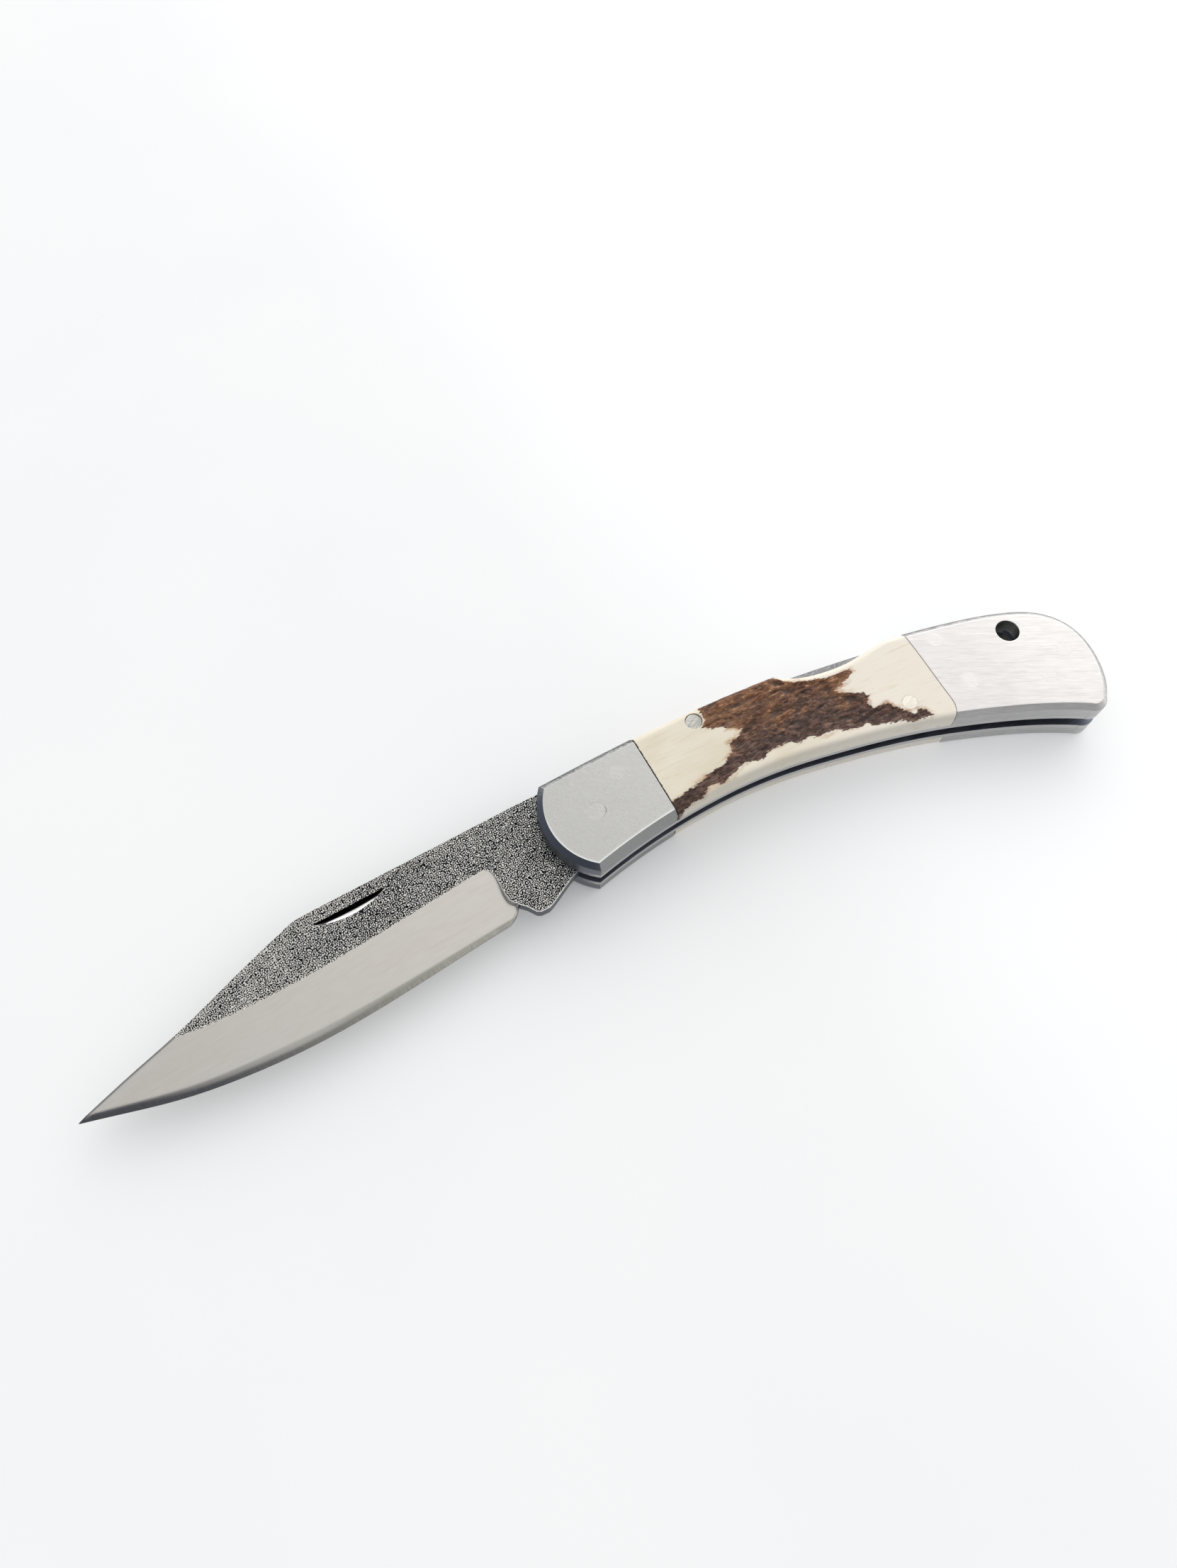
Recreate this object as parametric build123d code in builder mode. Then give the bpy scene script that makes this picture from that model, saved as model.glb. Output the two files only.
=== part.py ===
"""Large lockback folding knife with stag scales, built piece by piece in one shared frame.

The knife lies open on its back face. X runs from the tip (-X) to the butt (+X), the blade's spine
faces +Y, and Z is the thickness, with the back face at Z = 0. All sizes are in millimetres.
"""

import os
from math import cos, radians, sin

from build123d import *

os.makedirs("parts", exist_ok=True)

# ---------------------------------------------------------------- thickness stack, back to front
SCALE_T = 3.3
LINER_T = 1.2
SLOT_T = 2.8
BLADE_T = 2.6
SIDE_PLAY = (SLOT_T - BLADE_T) / 2
Z_LINER_BACK = SCALE_T
Z_SLOT = Z_LINER_BACK + LINER_T
Z_LINER_FRONT = Z_SLOT + SLOT_T
Z_SCALE_FRONT = Z_LINER_FRONT + LINER_T
TOTAL_T = Z_SCALE_FRONT + SCALE_T
Z_MID = Z_SLOT + BLADE_T / 2 + SIDE_PLAY
Z_BLADE = Z_SLOT + SIDE_PLAY

# ---------------------------------------------------------------- frame and pin centres
# Profiles are drawn from a datum 0.7 mm below the pivot pin. CENTRE is the middle of the open
# knife's outline in those profile coordinates, and becomes the frame's X = Y = 0.
CENTRE = (0.70, -9.56)
PIVOT = (0.0, 0.7)
ROCKER = (26.5, 7.9)
SCALE_RIVET = (66.5, -10.1)
FRONT_BOLSTER_RIVET = (7.5, 5.8)
REAR_RIVETS = ((80.2, -12.4), (94.9, -19.4))
SPACER_PINS = ((80.0, -0.9), (101.8, -15.9))
LANYARD = (94.4, -6.7)

PIVOT_R = 1.8
ROCKER_R = 1.75
SCALE_RIVET_R = 1.6
BOLSTER_RIVET_R = 1.65
SPACER_PIN_R = 1.65
LANYARD_R = 2.5
RUNNING_CLEARANCE = 0.05
SEAT_CLEARANCE = 0.01

# ---------------------------------------------------------------- handle outline
# The back is the line that the liners, lock bar and backspacer share; the belly carries the slot.
BACK_FRONT_END = (-7.05, 10.95)
BACK = (
    BACK_FRONT_END,
    (8.0, 11.0),
    (26.0, 10.5),
    (44.0, 9.1),
    (57.0, 7.2),
    (72.5, 4.35),
    (87.6, 0.7),
    (97.6, -2.75),
    (103.8, -6.6),
    (106.9, -11.2),
    (107.7, -15.9),
    (107.0, -20.8),
    (104.9, -25.9),
    (102.5, -28.9),
)
CORNER_LOW = (100.2, -30.45)
BELLY = (
    (97.6, -29.55),
    (90.0, -25.2),
    (80.0, -20.6),
    (70.0, -16.7),
    (60.0, -13.6),
    (50.0, -11.1),
    (40.0, -9.0),
    (30.0, -7.75),
    (20.0, -7.45),
    (10.0, -7.9),
    (-5.3, -10.0),
)
NOSE_ARC_MID = (-10.85, 1.2)

# Seams between the bolsters and the scales, each drawn from above the back to below the belly.
FRONT_SEAM = ((13.85, 14.0), (13.5, 2.0), (13.0, -12.0))
REAR_SEAM = ((75.2, 8.0), (74.9, -2.0), (74.35, -12.5), (74.0, -15.3), (73.0, -17.0), (71.4, -18.2))
SEAM_GAP = 0.12

# Thumb cut-out in the back, which bares the rear end of the lock bar.
CUT_OUT = (
    (44.2, 10.6),
    (47.0, 8.2),
    (50.6, 6.1),
    (55.5, 4.7),
    (61.0, 4.05),
    (66.0, 4.3),
    (70.0, 4.6),
    (73.2, 4.45),
)

BOLSTER_BEVEL_W = 1.2
BOLSTER_BEVEL_H = 0.9
SCALE_ROUNDING = 1.6

# ---------------------------------------------------------------- blade
TIP = (-106.3, -3.4)
CLIP = ((-106.3, -3.3), (-102.0, -2.05), (-94.5, 0.05), (-86.5, 2.15), (-80.0, 4.3), (-62.5, 10.25))
CLIP_SHOULDER = ((-62.5, 10.25), (-60.6, 10.95), (-57.5, 11.35))
SPINE_END = (-12.0, 11.35)
TANG_TOP = (-0.12, 10.95)
EDGE = (
    (-106.3, -3.4),
    (-100.0, -5.3),
    (-90.0, -8.2),
    (-80.0, -10.1),
    (-70.0, -11.15),
    (-60.0, -11.45),
    (-45.0, -10.8),
    (-24.6, -9.4),
)
CHOIL = ((-24.6, -9.4), (-23.1, -8.6), (-21.4, -6.75))
KICK = (
    (-21.4, -6.75),
    (-20.2, -8.0),
    (-19.1, -9.75),
    (-18.3, -10.2),
    (-16.6, -10.3),
    (-15.6, -9.95),
    (-10.4, -7.4),
    (-8.3, -6.65),
)
TANG_R = 7.3
TANG_JOIN_ANGLE = 232.0

# Cross-section stations of the ground blade: X, then the Y of the grind line, the edge bevel's
# upper line and the cutting edge.
GRIND_STATIONS = (
    (-20.5, 2.9, -8.3, -9.3),
    (-30.0, 2.2, -8.7, -9.9),
    (-40.0, 1.5, -9.1, -10.6),
    (-50.0, 0.85, -9.4, -11.2),
    (-60.0, 0.4, -9.45, -11.55),
    (-70.0, 0.4, -9.0, -11.25),
    (-80.0, 0.95, -8.15, -10.2),
    (-87.0, 2.05, -7.15, -9.05),
    (-95.0, 4.0, -5.3, -6.95),
    (-101.0, 5.3, -3.75, -5.1),
    (-108.0, 6.8, -1.9, -2.95),
)
BEVEL_HALF_T = 0.50
EDGE_HALF_T = 0.03
SPINE_ABOVE = 16.0
# The plunge line, where the ground bevel runs out against the full-thickness ricasso.
PLUNGE = ((-27.5, 3.3), (-25.5, 2.75), (-24.1, 2.6), (-23.1, 1.85), (-22.5, -0.4), (-21.35, -6.5))
PLUNGE_SLOPE = 1.3

NICK_X = (-57.0, -41.2)
NICK_Y = (6.95, 8.85)
NICK_DEPTH = 0.9

# ---------------------------------------------------------------- lock bar, spring and backspacer
NOSE_GAP = 0.12
TANG_RUN_GAP = 0.2
LOCK_BAR_REAR_X = 66.6
SPRING_T = 1.1
SPRING_W = 2.4
SPACER_FRONT_X = 67.2
SPRING_SLOT_Y = (0.55, 1.67)
SPRING_SLOT_DEPTH = 9.0


def at(x, y):
    """Profile coordinates to frame coordinates."""
    return (x - CENTRE[0], y - CENTRE[1])


def points(pairs):
    return [at(*p) for p in pairs]


def tang_point(angle, radius):
    """Point on a circle around the pivot pin, in profile coordinates."""
    a = radians(angle)
    return (PIVOT[0] + radius * cos(a), PIVOT[1] + radius * sin(a))


def handle_face():
    """Whole side outline of the handle."""
    with BuildSketch() as face:
        with BuildLine():
            Spline(*points(BACK))
            ThreePointArc(at(*BACK[-1]), at(*CORNER_LOW), at(*BELLY[0]))
            Spline(*points(BELLY))
            ThreePointArc(at(*BELLY[-1]), at(*NOSE_ARC_MID), at(*BACK_FRONT_END))
        make_face()
    return face.sketch


def seam_region(seam, far_x, shift):
    """Everything on one side of a seam, out to far_x, with the seam moved along X by shift."""
    line = [at(x + shift, y) for x, y in seam]
    with BuildSketch() as face:
        with BuildLine():
            Spline(*line)
            Polyline(line[-1], at(far_x, seam[-1][1] - 40), at(far_x, 40), at(seam[0][0], 40), line[0])
        make_face()
    return face.sketch


def cut_out_face():
    """Area removed by the thumb cut-out."""
    with BuildSketch() as face:
        with BuildLine():
            Spline(*points(CUT_OUT))
            Polyline(at(*CUT_OUT[-1]), at(CUT_OUT[-1][0], 20), at(CUT_OUT[0][0], 20), at(*CUT_OUT[0]))
        make_face()
    return face.sketch


def blade_face():
    """Side outline of the blade with its tang."""
    tang_join = tang_point(TANG_JOIN_ANGLE, TANG_R)
    tang_side = tang_point(0, TANG_R)
    tang_top = tang_point(90, TANG_R)
    with BuildSketch() as face:
        with BuildLine():
            Spline(*points(CLIP))
            ThreePointArc(*points(CLIP_SHOULDER))
            Polyline(*points((CLIP_SHOULDER[-1], SPINE_END, TANG_TOP)))
            Polyline(*points((TANG_TOP, (TANG_TOP[0], tang_top[1]), tang_top)))
            ThreePointArc(*points((tang_top, tang_side, tang_join)))
            Polyline(*points((tang_join,) + KICK[::-1]))
            ThreePointArc(*points(CHOIL))
            Spline(*points(EDGE))
            Line(at(*EDGE[0]), at(*CLIP[0]))
        make_face()
    return face.sketch


def ground_section(y_grind, y_bevel, y_edge):
    """One cross-section of the ground blade, as Y and Z pairs around the blade's mid-plane."""
    half = BLADE_T / 2
    top = y_grind + SPINE_ABOVE
    front = [(top, half), (y_grind, half), (y_bevel, BEVEL_HALF_T), (y_edge - 0.1, EDGE_HALF_T)]
    back = [(y, -z) for y, z in reversed(front)]
    return [(y - CENTRE[1], z + Z_MID) for y, z in front + back]


# ================================================================ moving pieces
with BuildPart() as blade:
    # Ground body: smooth wedge through the cross-section stations, flat above the grind line.
    for x, y_grind, y_bevel, y_edge in GRIND_STATIONS:
        with BuildSketch(Plane.YZ.offset(x - CENTRE[0])):
            with BuildLine():
                Polyline(*ground_section(y_grind, y_bevel, y_edge), close=True)
            make_face()
    loft()
    # The ricasso keeps its full thickness behind the plunge line, which slopes down to the bevel.
    for height, shift in ((0.0, 0.0), (BLADE_T / 2, -PLUNGE_SLOPE), (BLADE_T, 0.0)):
        plunge_line = [at(x + shift, y) for x, y in PLUNGE]
        with BuildSketch(Plane.XY.offset(Z_BLADE + height)):
            with BuildLine():
                Spline(*plunge_line)
                Polyline(plunge_line[-1], at(-21.4, -20), at(20, -20), at(20, 20), at(-30, 20), plunge_line[0])
            make_face()
    loft(ruled=True)
    with BuildSketch(Plane.XY.offset(Z_BLADE)):
        add(blade_face())
    extrude(amount=BLADE_T, mode=Mode.INTERSECT)
    # Pivot hole.
    with Locations((*at(*PIVOT), Z_MID)):
        Cylinder(PIVOT_R + RUNNING_CLEARANCE, TOTAL_T, mode=Mode.SUBTRACT)
    # Nail nick, cut by a large tapered disc: deepest along its upper wall.
    nick_half = (NICK_X[1] - NICK_X[0]) / 2
    nick_radius = (nick_half**2 + NICK_DEPTH**2) / (2 * NICK_DEPTH)
    nick_width = NICK_Y[1] - NICK_Y[0]
    nick_x = (NICK_X[0] + NICK_X[1]) / 2
    nick_z = Z_BLADE + BLADE_T - NICK_DEPTH + nick_radius
    nick_centre = (*at(nick_x, (NICK_Y[0] + NICK_Y[1]) / 2), nick_z)
    with Locations(Location(nick_centre, (-90, 0, 0))):
        Cone(nick_radius - NICK_DEPTH, nick_radius, nick_width, mode=Mode.SUBTRACT)

with BuildPart() as lock_bar:
    nose_face_x = TANG_TOP[0] + NOSE_GAP
    nose_start = tang_point(89.9, TANG_R + TANG_RUN_GAP)
    nose_mid = tang_point(68, TANG_R + TANG_RUN_GAP)
    nose_end = tang_point(47, TANG_R + TANG_RUN_GAP)
    with BuildSketch(Plane.XY.offset(Z_BLADE)):
        with BuildLine():
            Polyline(*points(((nose_start[0], 20), nose_start)))
            ThreePointArc(*points((nose_start, nose_mid, nose_end)))
            Polyline(*points((nose_end, (11.8, 6.35), (14.6, 7.5), (21.4, 7.5), (22.6, 5.3))))
            Spline(*points(((22.6, 5.3), (26.5, 4.9), (31.0, 5.2))))
            Spline(*points(((31.0, 5.2), (42.0, 5.4), (54.0, 4.2), (60.5, 2.9))))
            Polyline(*points(((60.5, 2.9), (LOCK_BAR_REAR_X, 1.9), (LOCK_BAR_REAR_X, 20))))
            Line(at(LOCK_BAR_REAR_X, 20), at(nose_start[0], 20))
        make_face()
        add(handle_face(), mode=Mode.INTERSECT)
    extrude(amount=BLADE_T)
    with Locations((*at(*ROCKER), Z_MID)):
        Cylinder(ROCKER_R + RUNNING_CLEARANCE, TOTAL_T, mode=Mode.SUBTRACT)

with BuildPart() as lock_spring:
    # Leaf spring: flat root held in the backspacer, free arm rising to press under the lock bar.
    root_y = SPRING_SLOT_Y[0] + SEAT_CLEARANCE
    arm_top = 2.9 - 0.05
    with BuildSketch(Plane.XY.offset(Z_MID - SPRING_W / 2)):
        with BuildLine():
            Line(at(76.0, root_y), at(68.6, root_y))
            Spline(*points(((68.6, root_y), (64.8, root_y + 0.25), (60.4, arm_top - SPRING_T - 0.12))))
            Line(at(60.4, arm_top - SPRING_T - 0.12), at(60.4, arm_top - 0.12))
            Spline(*points(((60.4, arm_top - 0.12), (64.9, root_y + SPRING_T + 0.2), (68.6, root_y + SPRING_T))))
            Line(at(68.6, root_y + SPRING_T), at(76.0, root_y + SPRING_T))
            Line(at(76.0, root_y + SPRING_T), at(76.0, root_y))
        make_face()
    extrude(amount=SPRING_W)

# ================================================================ handle core
with BuildPart() as backspacer:
    with BuildSketch(Plane.XY.offset(Z_SLOT)):
        with BuildLine():
            Line(at(SPACER_FRONT_X, 20), at(SPACER_FRONT_X, -2.6))
            Spline(*points(((SPACER_FRONT_X, -2.6), (78.0, -6.6), (90.0, -12.4), (100.0, -18.0), (110.0, -24.4))))
            Polyline(*points(((110.0, -24.4), (110.0, 20), (SPACER_FRONT_X, 20))))
        make_face()
        add(handle_face(), mode=Mode.INTERSECT)
    extrude(amount=SLOT_T)
    slot_mid_y = (SPRING_SLOT_Y[0] + SPRING_SLOT_Y[1]) / 2
    slot_h = SPRING_SLOT_Y[1] - SPRING_SLOT_Y[0]
    with Locations((*at(SPACER_FRONT_X + SPRING_SLOT_DEPTH / 2, slot_mid_y), Z_MID)):
        Box(SPRING_SLOT_DEPTH, slot_h, SLOT_T, mode=Mode.SUBTRACT)
    with Locations((*at(*LANYARD), Z_MID)):
        Cylinder(LANYARD_R, TOTAL_T, mode=Mode.SUBTRACT)
    for pin in SPACER_PINS:
        with Locations((*at(*pin), Z_MID)):
            Cylinder(SPACER_PIN_R + SEAT_CLEARANCE, TOTAL_T, mode=Mode.SUBTRACT)

LINER_HOLES = (
    (PIVOT, PIVOT_R + SEAT_CLEARANCE),
    (ROCKER, ROCKER_R + SEAT_CLEARANCE),
    (SCALE_RIVET, SCALE_RIVET_R + SEAT_CLEARANCE),
    (FRONT_BOLSTER_RIVET, BOLSTER_RIVET_R + SEAT_CLEARANCE),
    (REAR_RIVETS[0], BOLSTER_RIVET_R + SEAT_CLEARANCE),
    (REAR_RIVETS[1], BOLSTER_RIVET_R + SEAT_CLEARANCE),
    (SPACER_PINS[0], SPACER_PIN_R + SEAT_CLEARANCE),
    (SPACER_PINS[1], SPACER_PIN_R + SEAT_CLEARANCE),
    (LANYARD, LANYARD_R),
)

with BuildPart() as liner_front:
    with BuildSketch(Plane.XY.offset(Z_LINER_FRONT)):
        add(handle_face())
        add(cut_out_face(), mode=Mode.SUBTRACT)
    extrude(amount=LINER_T)
    for centre, radius in LINER_HOLES:
        with Locations((*at(*centre), Z_MID)):
            Cylinder(radius, TOTAL_T, mode=Mode.SUBTRACT)

with BuildPart() as liner_back:
    add(mirror(liner_front.part, about=Plane.XY.offset(Z_MID)))

# ================================================================ bolsters
with BuildPart() as front_bolster_front:
    with BuildSketch(Plane.XY.offset(Z_SCALE_FRONT)):
        add(handle_face())
        add(seam_region(FRONT_SEAM, -60, -SEAM_GAP / 2), mode=Mode.INTERSECT)
    extrude(amount=SCALE_T)
    rim = [e for e in edges().group_by(Axis.Z)[-1] if e.center().X < at(13.2, 0)[0]]
    chamfer(rim, length=BOLSTER_BEVEL_H, length2=BOLSTER_BEVEL_W)
    with Locations((*at(*PIVOT), Z_MID)):
        Cylinder(PIVOT_R + SEAT_CLEARANCE, TOTAL_T, mode=Mode.SUBTRACT)
    with Locations((*at(*FRONT_BOLSTER_RIVET), Z_MID)):
        Cylinder(BOLSTER_RIVET_R + SEAT_CLEARANCE, TOTAL_T, mode=Mode.SUBTRACT)

with BuildPart() as front_bolster_back:
    add(mirror(front_bolster_front.part, about=Plane.XY.offset(Z_MID)))

with BuildPart() as rear_bolster_front:
    with BuildSketch(Plane.XY.offset(Z_SCALE_FRONT)):
        add(handle_face())
        add(seam_region(REAR_SEAM, 160, SEAM_GAP / 2), mode=Mode.INTERSECT)
    extrude(amount=SCALE_T)
    rim = [e for e in edges().group_by(Axis.Z)[-1] if e.center().X > at(76.0, 0)[0]]
    chamfer(rim, length=BOLSTER_BEVEL_H, length2=BOLSTER_BEVEL_W)
    for centre, radius in LINER_HOLES[4:]:
        with Locations((*at(*centre), Z_MID)):
            Cylinder(radius, TOTAL_T, mode=Mode.SUBTRACT)

with BuildPart() as rear_bolster_back:
    add(mirror(rear_bolster_front.part, about=Plane.XY.offset(Z_MID)))

# ================================================================ stag scales
with BuildPart() as scale_front:
    with BuildSketch(Plane.XY.offset(Z_SCALE_FRONT)):
        add(handle_face())
        add(seam_region(FRONT_SEAM, 160, SEAM_GAP / 2), mode=Mode.INTERSECT)
        add(seam_region(REAR_SEAM, -60, -SEAM_GAP / 2), mode=Mode.INTERSECT)
        add(cut_out_face(), mode=Mode.SUBTRACT)
    extrude(amount=SCALE_T)
    seam_x = (at(16.0, 0)[0], at(73.5, 0)[0])
    rim = [e for e in edges().group_by(Axis.Z)[-1] if seam_x[0] < e.center().X < seam_x[1]]
    fillet(rim, radius=SCALE_ROUNDING)
    with Locations((*at(*ROCKER), Z_MID)):
        Cylinder(ROCKER_R + SEAT_CLEARANCE, TOTAL_T, mode=Mode.SUBTRACT)
    with Locations((*at(*SCALE_RIVET), Z_MID)):
        Cylinder(SCALE_RIVET_R + SEAT_CLEARANCE, TOTAL_T, mode=Mode.SUBTRACT)

with BuildPart() as scale_back:
    add(mirror(scale_front.part, about=Plane.XY.offset(Z_MID)))

# ================================================================ pins and rivets
with BuildPart() as pivot_pin:
    with Locations((*at(*PIVOT), Z_MID)):
        Cylinder(PIVOT_R, TOTAL_T)

with BuildPart() as rocker_pin:
    with Locations((*at(*ROCKER), Z_MID)):
        Cylinder(ROCKER_R, TOTAL_T - 0.6)
    chamfer(edges().filter_by(GeomType.CIRCLE), length=0.15)

with BuildPart() as spacer_pin_top:
    with Locations((*at(*SPACER_PINS[0]), Z_MID)):
        Cylinder(SPACER_PIN_R, TOTAL_T)

with BuildPart() as spacer_pin_rear:
    with Locations((*at(*SPACER_PINS[1]), Z_MID)):
        Cylinder(SPACER_PIN_R, TOTAL_T)

SHORT_RIVET_L = SCALE_T + LINER_T
FRONT_ALIGN = (Align.CENTER, Align.CENTER, Align.MAX)

with BuildPart() as scale_rivet_front:
    with Locations((*at(*SCALE_RIVET), TOTAL_T)):
        Cylinder(SCALE_RIVET_R, SHORT_RIVET_L, align=FRONT_ALIGN)

with BuildPart() as scale_rivet_back:
    add(mirror(scale_rivet_front.part, about=Plane.XY.offset(Z_MID)))

with BuildPart() as bolster_rivet_front:
    with Locations((*at(*FRONT_BOLSTER_RIVET), TOTAL_T)):
        Cylinder(BOLSTER_RIVET_R, SHORT_RIVET_L, align=FRONT_ALIGN)

with BuildPart() as bolster_rivet_back:
    add(mirror(bolster_rivet_front.part, about=Plane.XY.offset(Z_MID)))

with BuildPart() as rear_rivet_a_front:
    with Locations((*at(*REAR_RIVETS[0]), TOTAL_T)):
        Cylinder(BOLSTER_RIVET_R, SHORT_RIVET_L, align=FRONT_ALIGN)

with BuildPart() as rear_rivet_a_back:
    add(mirror(rear_rivet_a_front.part, about=Plane.XY.offset(Z_MID)))

with BuildPart() as rear_rivet_b_front:
    with Locations((*at(*REAR_RIVETS[1]), TOTAL_T)):
        Cylinder(BOLSTER_RIVET_R, SHORT_RIVET_L, align=FRONT_ALIGN)

with BuildPart() as rear_rivet_b_back:
    add(mirror(rear_rivet_b_front.part, about=Plane.XY.offset(Z_MID)))

# ================================================================ labels and export
blade.part.label = "blade"
lock_bar.part.label = "lock_bar"
lock_spring.part.label = "lock_spring"
backspacer.part.label = "backspacer"
liner_front.part.label = "liner_front"
liner_back.part.label = "liner_back"
front_bolster_front.part.label = "front_bolster_front"
front_bolster_back.part.label = "front_bolster_back"
rear_bolster_front.part.label = "rear_bolster_front"
rear_bolster_back.part.label = "rear_bolster_back"
scale_front.part.label = "scale_front"
scale_back.part.label = "scale_back"
pivot_pin.part.label = "pivot_pin"
rocker_pin.part.label = "rocker_pin"
spacer_pin_top.part.label = "spacer_pin_top"
spacer_pin_rear.part.label = "spacer_pin_rear"
scale_rivet_front.part.label = "scale_rivet_front"
scale_rivet_back.part.label = "scale_rivet_back"
bolster_rivet_front.part.label = "bolster_rivet_front"
bolster_rivet_back.part.label = "bolster_rivet_back"
rear_rivet_a_front.part.label = "rear_rivet_a_front"
rear_rivet_a_back.part.label = "rear_rivet_a_back"
rear_rivet_b_front.part.label = "rear_rivet_b_front"
rear_rivet_b_back.part.label = "rear_rivet_b_back"

export_step(blade.part, "parts/blade.step")
export_step(lock_bar.part, "parts/lock_bar.step")
export_step(lock_spring.part, "parts/lock_spring.step")
export_step(backspacer.part, "parts/backspacer.step")
export_step(liner_front.part, "parts/liner_front.step")
export_step(liner_back.part, "parts/liner_back.step")
export_step(front_bolster_front.part, "parts/front_bolster_front.step")
export_step(front_bolster_back.part, "parts/front_bolster_back.step")
export_step(rear_bolster_front.part, "parts/rear_bolster_front.step")
export_step(rear_bolster_back.part, "parts/rear_bolster_back.step")
export_step(scale_front.part, "parts/scale_front.step")
export_step(scale_back.part, "parts/scale_back.step")
export_step(pivot_pin.part, "parts/pivot_pin.step")
export_step(rocker_pin.part, "parts/rocker_pin.step")
export_step(spacer_pin_top.part, "parts/spacer_pin_top.step")
export_step(spacer_pin_rear.part, "parts/spacer_pin_rear.step")
export_step(scale_rivet_front.part, "parts/scale_rivet_front.step")
export_step(scale_rivet_back.part, "parts/scale_rivet_back.step")
export_step(bolster_rivet_front.part, "parts/bolster_rivet_front.step")
export_step(bolster_rivet_back.part, "parts/bolster_rivet_back.step")
export_step(rear_rivet_a_front.part, "parts/rear_rivet_a_front.step")
export_step(rear_rivet_a_back.part, "parts/rear_rivet_a_back.step")
export_step(rear_rivet_b_front.part, "parts/rear_rivet_b_front.step")
export_step(rear_rivet_b_back.part, "parts/rear_rivet_b_back.step")
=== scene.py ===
import math
from typing import NamedTuple

import bmesh
import bpy
import numpy as np
from mathutils import Matrix, Vector, noise


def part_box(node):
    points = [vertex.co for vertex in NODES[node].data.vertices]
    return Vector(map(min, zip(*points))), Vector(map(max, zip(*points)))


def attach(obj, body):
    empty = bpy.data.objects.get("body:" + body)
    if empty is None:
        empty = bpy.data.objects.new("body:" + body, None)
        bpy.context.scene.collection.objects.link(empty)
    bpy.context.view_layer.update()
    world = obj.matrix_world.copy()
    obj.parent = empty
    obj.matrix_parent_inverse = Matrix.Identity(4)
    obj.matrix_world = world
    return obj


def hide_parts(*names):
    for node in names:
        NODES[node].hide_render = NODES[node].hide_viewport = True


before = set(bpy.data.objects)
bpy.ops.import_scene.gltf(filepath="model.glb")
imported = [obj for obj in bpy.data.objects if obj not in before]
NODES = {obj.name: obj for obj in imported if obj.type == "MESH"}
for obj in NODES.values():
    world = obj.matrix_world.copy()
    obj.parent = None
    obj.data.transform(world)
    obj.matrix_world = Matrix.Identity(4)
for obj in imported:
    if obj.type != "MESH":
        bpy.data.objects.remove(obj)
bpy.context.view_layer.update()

# ------------------------------------------------------------------ the frame
# Lengths are in mm on the CAD frame's axes unless a comment says otherwise.
MM = 0.001

# The outlines below are on the knife's own profile axes, whose origin is near the pivot.
# A frame point is a profile point less this.
CENTRE_X = 0.70
CENTRE_Y = -9.56


def middle(node):
    """The middle of a CAD node's box."""
    low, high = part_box(node)
    return tuple((low + high) / 2 / MM)


MID_Z = middle("pivot_pin")[2]

scene = bpy.context.scene
scene.view_settings.view_transform = "Standard"
scene.view_settings.look = "None"


# ------------------------------------------------------------------ node helpers
class Tree:
    """Short spellings for the nodes of one node tree."""

    def __init__(self, tree):
        self.tree = tree
        self.coordinates = self.add("ShaderNodeTexCoord").outputs

    def add(self, kind, **settings):
        node = self.tree.nodes.new(kind)
        for key, value in settings.items():
            setattr(node, key, value)
        return node

    def put(self, socket, value):
        """Links the socket to another node's output, or gives it a plain value."""
        if isinstance(value, bpy.types.NodeSocket):
            self.tree.links.new(value, socket)
        elif value is not None:
            socket.default_value = value

    def fill(self, sockets, values):
        for socket, value in zip(sockets, values):
            self.put(socket, value)

    def vector(self, operation, a, b=None, scale=None):
        node = self.add("ShaderNodeVectorMath", operation=operation)
        self.fill(node.inputs, (a, b))
        if scale is not None:
            self.put(node.inputs["Scale"], scale)
        is_number = operation in ("DOT_PRODUCT", "DISTANCE")
        return node.outputs["Value" if is_number else "Vector"]

    def math(self, operation, a, b=None, c=None):
        node = self.add("ShaderNodeMath", operation=operation)
        self.fill(node.inputs, (a, b, c))
        return node.outputs[0]

    def total(self, first, *others):
        for other in others:
            first = self.math("ADD", first, other)
        return first

    def product(self, first, *others):
        for other in others:
            first = self.math("MULTIPLY", first, other)
        return first

    def step(self, value, low, high, to_low=0.0, to_high=1.0, smooth=True):
        """Goes from to_low to to_high while the value goes from low to high."""
        node = self.add("ShaderNodeMapRange", clamp=True)
        node.interpolation_type = "SMOOTHSTEP" if smooth else "LINEAR"
        self.fill(node.inputs, (value, low, high, to_low, to_high))
        return node.outputs[0]

    def spread(self, noise_value, to_low=0.0, to_high=1.0):
        """Stretches a noise, most of which lies from 0.3 to 0.7, to a new range."""
        return self.step(noise_value, 0.3, 0.7, to_low, to_high)

    def split(self, vector):
        node = self.add("ShaderNodeSeparateXYZ")
        self.put(node.inputs[0], vector)
        return node.outputs

    def ramp(self, value, stops):
        node = self.add("ShaderNodeValToRGB")
        elements = node.color_ramp.elements
        while len(elements) < len(stops):
            elements.new(0.5)
        for element, (position, colour) in zip(elements, stops):
            element.position = position
            element.color = (*colour, 1.0)
        self.put(node.inputs[0], value)
        return node.outputs[0]


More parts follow.
